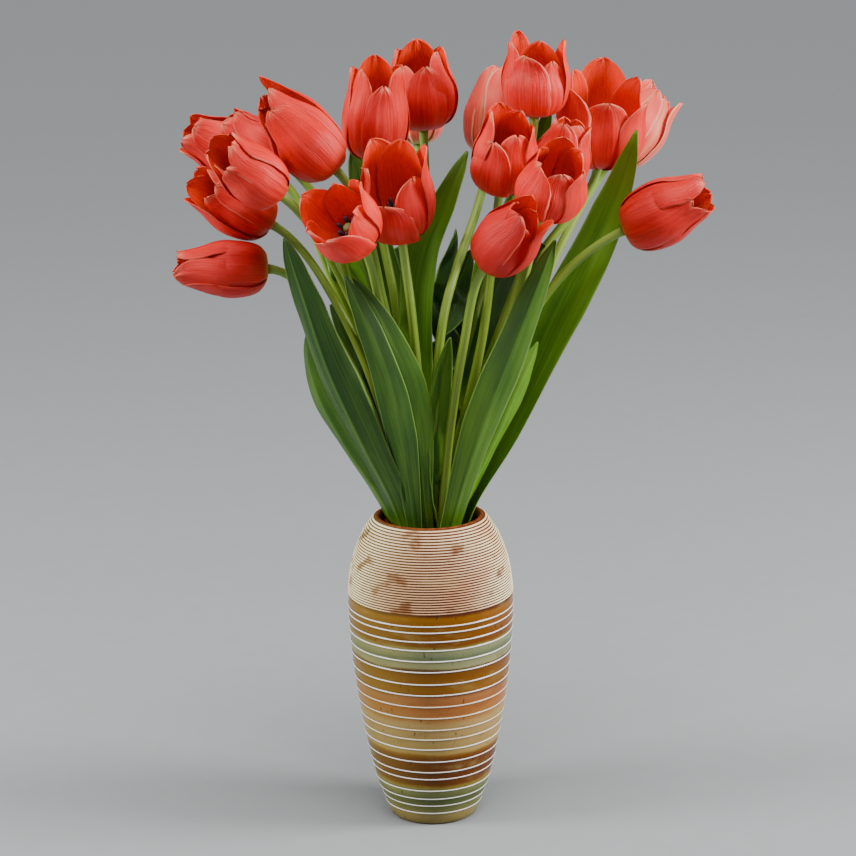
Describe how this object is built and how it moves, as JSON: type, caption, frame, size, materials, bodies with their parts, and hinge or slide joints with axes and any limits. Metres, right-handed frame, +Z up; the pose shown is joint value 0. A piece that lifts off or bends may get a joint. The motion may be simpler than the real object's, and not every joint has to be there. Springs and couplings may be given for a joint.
{
  "type": "tulips in a vase",
  "caption": "Bunch of coral-pink tulips with long green leaves, fanned out and standing in a tall, round-shouldered stoneware vase with ribs and coloured glaze bands.",
  "frame": {"origin": "centre of the underside of the vase's flat foot", "axes": "+Z up along the vase's axis, -Y towards the front of the bouquet, +X to the viewer's right"},
  "size_m": [0.4204, 0.2726, 0.6259],
  "materials": {
    "glazed_stoneware": "gloss",
    "green_stem": "satin",
    "coral_petal": "satin",
    "green_leaf": "satin"
  },
  "bodies": {
    "root": {"vase": "glazed_stoneware", "stem_01": "green_stem", "stem_02": "green_stem", "stem_03": "green_stem", "stem_04": "green_stem", "stem_05": "green_stem", "stem_06": "green_stem", "stem_07": "green_stem", "stem_08": "green_stem", "stem_09": "green_stem", "stem_10": "green_stem", "stem_11": "green_stem", "stem_12": "green_stem", "stem_13": "green_stem", "stem_14": "green_stem", "stem_15": "green_stem", "stem_16": "green_stem", "stem_17": "green_stem", "stem_18": "green_stem", "stem_19": "green_stem", "stem_20": "green_stem", "flower_01": "coral_petal", "flower_02": "coral_petal", "flower_03": "coral_petal", "flower_04": "coral_petal", "flower_05": "coral_petal", "flower_06": "coral_petal", "flower_07": "coral_petal", "flower_08": "coral_petal", "flower_09": "coral_petal", "flower_10": "coral_petal", "flower_11": "coral_petal", "flower_12": "coral_petal", "flower_13": "coral_petal", "flower_14": "coral_petal", "flower_15": "coral_petal", "flower_16": "coral_petal", "flower_17": "coral_petal", "flower_18": "coral_petal", "flower_19": "coral_petal", "flower_20": "coral_petal", "leaf_01": "green_leaf", "leaf_02": "green_leaf", "leaf_03": "green_leaf", "leaf_04": "green_leaf", "leaf_05": "green_leaf", "leaf_06": "green_leaf", "leaf_07": "green_leaf", "leaf_08": "green_leaf", "leaf_09": "green_leaf", "leaf_10": "green_leaf", "leaf_11": "green_leaf", "leaf_12": "green_leaf", "leaf_13": "green_leaf", "leaf_14": "green_leaf", "leaf_15": "green_leaf", "leaf_16": "green_leaf", "leaf_17": "green_leaf"}
  },
  "joints": []
}
